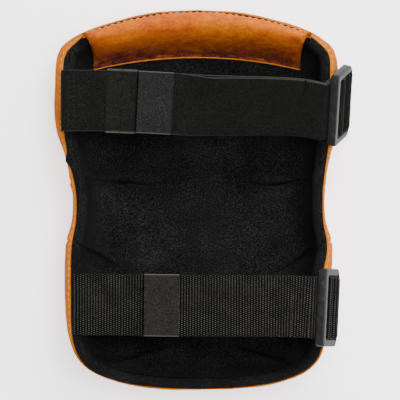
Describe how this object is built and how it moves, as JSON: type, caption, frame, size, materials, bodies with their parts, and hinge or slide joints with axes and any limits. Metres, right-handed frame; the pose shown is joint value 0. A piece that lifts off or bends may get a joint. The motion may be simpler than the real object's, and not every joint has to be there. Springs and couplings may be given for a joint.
{
  "type": "strap-on knee pad",
  "caption": "Leather-faced knee pad: a padded bowl with a black liner, held round the leg by an elastic strap and a webbing strap with slides and hook-and-loop ends.",
  "frame": {"origin": "centre of the flat kneeling face of the knee patch", "axes": "+Y along the leg towards the thigh, +Z out of the kneeling face towards the leg, +X to the slides' side"},
  "size_m": [0.1847, 0.2366, 0.0797],
  "materials": {
    "leather": "napped split leather, orange tan",
    "leather_patch": "napped split leather, rubbed",
    "leather_facing": "napped split leather, orange tan",
    "foam": "closed-cell foam",
    "felt": "pressed felt",
    "liner_cloth": "matt black woven cloth",
    "elastic": "smooth knitted elastic",
    "webbing": "ribbed webbing",
    "tab_cloth_upper": "smooth tab",
    "tab_cloth_lower": "smooth tab",
    "hook_tape": "hook tape",
    "slide_plastic": "satin moulded plastic",
    "rivet_black": "black enamelled",
    "washer_steel": "plated",
    "thread_light": "tan thread",
    "thread_dark": "black thread"
  },
  "bodies": {
    "pad": {"leather_shell": "leather", "knee_patch": "leather_patch", "foam_core": "foam", "felt_layer": "felt", "liner": "liner_cloth", "top_roll": "foam", "top_facing": "leather_facing", "edge_stitches": "thread_light", "patch_stitches": "thread_light", "facing_stitches": "thread_light", "upper_strap": "elastic", "upper_strap_tack": "thread_dark", "upper_anchor_tab": "elastic", "upper_rivet": "rivet_black", "upper_rivet_washer": "washer_steel", "lower_strap": "webbing", "lower_strap_tack": "thread_dark", "lower_anchor_tab": "webbing", "lower_rivet": "rivet_black", "lower_rivet_washer": "washer_steel", "upper_strap_strips": "elastic"},
    "upper_buckle": {"upper_slide": "slide_plastic", "upper_strap_turn": "elastic"},
    "upper_tail": {"upper_strap_tail": "elastic"},
    "upper_tip": {"upper_end_tab": "tab_cloth_upper", "upper_hook_patch": "hook_tape", "upper_tab_stitches": "thread_dark"},
    "lower_buckle": {"lower_slide": "slide_plastic", "lower_strap_turn": "webbing"},
    "lower_tail": {"lower_strap_tail": "webbing"},
    "lower_tip": {"lower_end_tab": "tab_cloth_lower", "lower_hook_patch": "hook_tape", "lower_tab_stitches": "thread_dark"}
  },
  "joints": [
    {"name": "upper_slide_swivel", "type": "hinge", "parent": "pad", "child": "upper_buckle", "pos_m": [0.0896, 0.0615, 0.0533], "axis": [0.0423, 0.8978, 0.4384], "range_deg": [0, 35]},
    {"name": "upper_tail_peel", "type": "hinge", "parent": "upper_buckle", "child": "upper_tail", "pos_m": [0.07873, 0.05475, 0.06817], "axis": [0.0423, 0.8978, 0.4384], "range_deg": [0, 110]},
    {"name": "upper_tail_adjust", "type": "slide", "parent": "upper_tail", "child": "upper_tip", "axis": [-0.9977, 0.02, -0.0651], "range_m": [0, 0.012]},
    {"name": "lower_slide_swivel", "type": "hinge", "parent": "pad", "child": "lower_buckle", "pos_m": [0.0819, -0.0665, 0.0544], "axis": [0.0471, 0.9989, 0], "range_deg": [0, 35]},
    {"name": "lower_tail_peel", "type": "hinge", "parent": "lower_buckle", "child": "lower_tail", "pos_m": [0.07137, -0.066, 0.07094], "axis": [0.0471, 0.9989, 0], "range_deg": [0, 110]},
    {"name": "lower_tail_adjust", "type": "slide", "parent": "lower_tail", "child": "lower_tip", "axis": [-0.9958, 0.0063, -0.0911], "range_m": [0, 0.012]}
  ]
}
